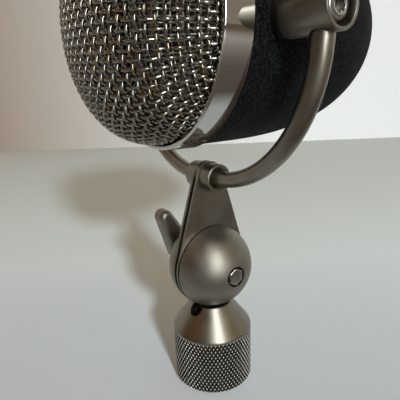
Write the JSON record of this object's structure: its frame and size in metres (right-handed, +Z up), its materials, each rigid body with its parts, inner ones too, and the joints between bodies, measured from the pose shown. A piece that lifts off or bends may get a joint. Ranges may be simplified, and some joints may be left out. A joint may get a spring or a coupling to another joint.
{
  "type": "ribbon microphone",
  "caption": "Side-pivoted ribbon microphone with a woven wire dome, chrome ring and black rounded body, in a U-shaped yoke on a clamped swivel and a knurled stand adaptor.",
  "frame": {"origin": "centre of the stand adaptor's lower face, where the stand's thread enters", "axes": "+Z up the stand axis, -Y the front (the woven grille), +X along the pivot axis to the side of the swivel bolt's hexagon head"},
  "size_m": [0.0982, 0.1036, 0.155],
  "materials": {
    "satin_nickel": "satin nickel plate",
    "polished_steel": "polished",
    "chrome": "mirror polish",
    "bright_wire": "bright nickel wire",
    "black_coat": "matte fine-textured coat",
    "black_nylon": "matte",
    "black_steel": "blackened",
    "plain_steel": "plain",
    "dark_gauze": "darkened gauze",
    "aluminium": "machined",
    "sintered_magnet": "sintered",
    "brass": "plain",
    "foil": "corrugated foil",
    "board": "solder-resist green",
    "gold_plate": "gold plated"
  },
  "bodies": {
    "stand": {"stand_adaptor": "satin_nickel", "adaptor_grub_screw": "black_steel", "swivel_tongue": "satin_nickel"},
    "yoke_link": {"link_cheek_right": "satin_nickel", "link_cheek_left": "satin_nickel", "link_spacer": "satin_nickel", "ball_cap_right": "satin_nickel", "ball_cap_left": "satin_nickel", "swivel_bolt": "polished_steel", "yoke_collar_right": "satin_nickel", "yoke_collar_left": "satin_nickel", "yoke_rod": "satin_nickel", "yoke_boss_right": "satin_nickel", "yoke_boss_left": "satin_nickel"},
    "lever": {"clamp_lever": "satin_nickel"},
    "microphone": {"body_shell": "black_coat", "grille_ring": "chrome", "grille_dome": "bright_wire", "inner_screen": "dark_gauze", "pivot_screw_right": "polished_steel", "pivot_screw_left": "polished_steel", "pivot_washer_right": "black_nylon", "pivot_washer_left": "black_nylon", "bulkhead": "aluminium", "bulkhead_screw_1": "black_steel", "bulkhead_screw_2": "black_steel", "bulkhead_screw_3": "black_steel", "bulkhead_screw_4": "black_steel", "motor_frame": "plain_steel", "motor_screw_1": "black_steel", "motor_screw_2": "black_steel", "motor_screw_3": "black_steel", "motor_screw_4": "black_steel", "magnet_right": "sintered_magnet", "magnet_left": "sintered_magnet", "pole_piece_right": "plain_steel", "pole_piece_left": "plain_steel", "ribbon_clamp_upper": "brass", "ribbon_clamp_lower": "brass", "ribbon": "foil", "output_transformer": "plain_steel", "circuit_board": "board", "board_pillar_right": "brass", "board_pillar_left": "brass", "board_screw_right": "black_steel", "board_screw_left": "black_steel", "socket_sleeve": "satin_nickel", "socket_insert": "black_nylon", "contact_pin_1": "gold_plate", "contact_pin_2": "gold_plate", "contact_pin_3": "gold_plate"}
  },
  "joints": [
    {"name": "swivel_tilt", "type": "hinge", "parent": "stand", "child": "yoke_link", "pos_m": [0, 0, 0.0442], "axis": [1, 0, 0], "range_deg": [-90, 90]},
    {"name": "lever_turn", "type": "hinge", "parent": "yoke_link", "child": "lever", "pos_m": [0, 0, 0.0442], "axis": [1, 0, 0], "range_deg": [-120, 20]},
    {"name": "body_tilt", "type": "hinge", "parent": "yoke_link", "child": "microphone", "pos_m": [0, 0, 0.11987], "axis": [1, 0, 0], "range_deg": [-30, 30]}
  ]
}
